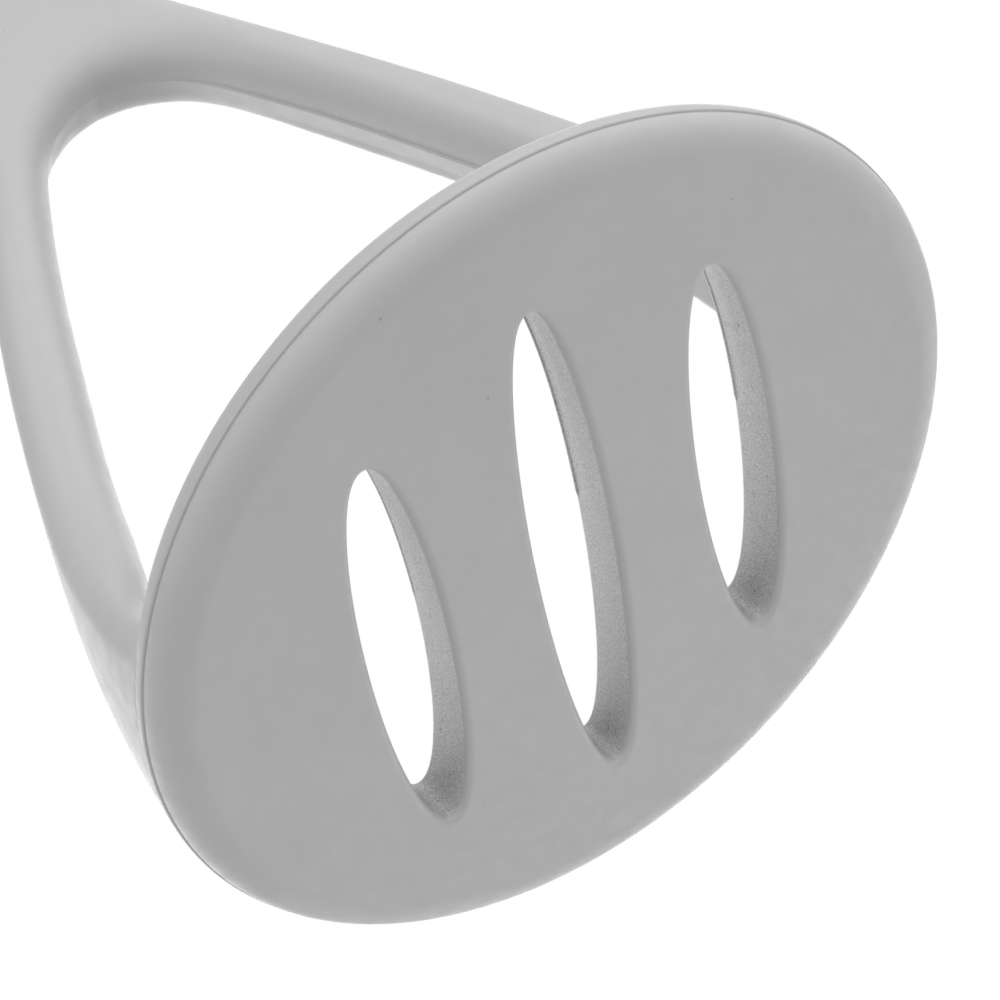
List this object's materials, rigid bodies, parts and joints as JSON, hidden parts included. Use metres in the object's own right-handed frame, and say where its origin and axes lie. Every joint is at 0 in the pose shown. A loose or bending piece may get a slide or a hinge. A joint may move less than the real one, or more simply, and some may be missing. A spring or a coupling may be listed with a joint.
{
  "type": "potato masher",
  "caption": "Potato masher with a round slotted disc on a wishbone fork, covered in grey silicone, and a straight grip with a hanging hole.",
  "frame": {"origin": "middle of the flat mashing face, which is the bottom of the part", "axes": "+Z from the mashing face up the handle, X from foot to foot of the fork, Y along the slots"},
  "size_m": [0.0903, 0.0902, 0.27],
  "materials": {
    "silicone": "soft matte silicone",
    "nylon": "matte glass-filled nylon",
    "steel": "brushed stainless steel"
  },
  "bodies": {
    "root": {"head_skin": "silicone", "head_insert": "nylon", "tang_rod": "steel", "neck_pin": "steel", "neck_collar": "steel", "handle_core": "nylon", "handle_pin": "steel", "handle_grip": "silicone", "hanging_bush": "steel"}
  },
  "joints": []
}
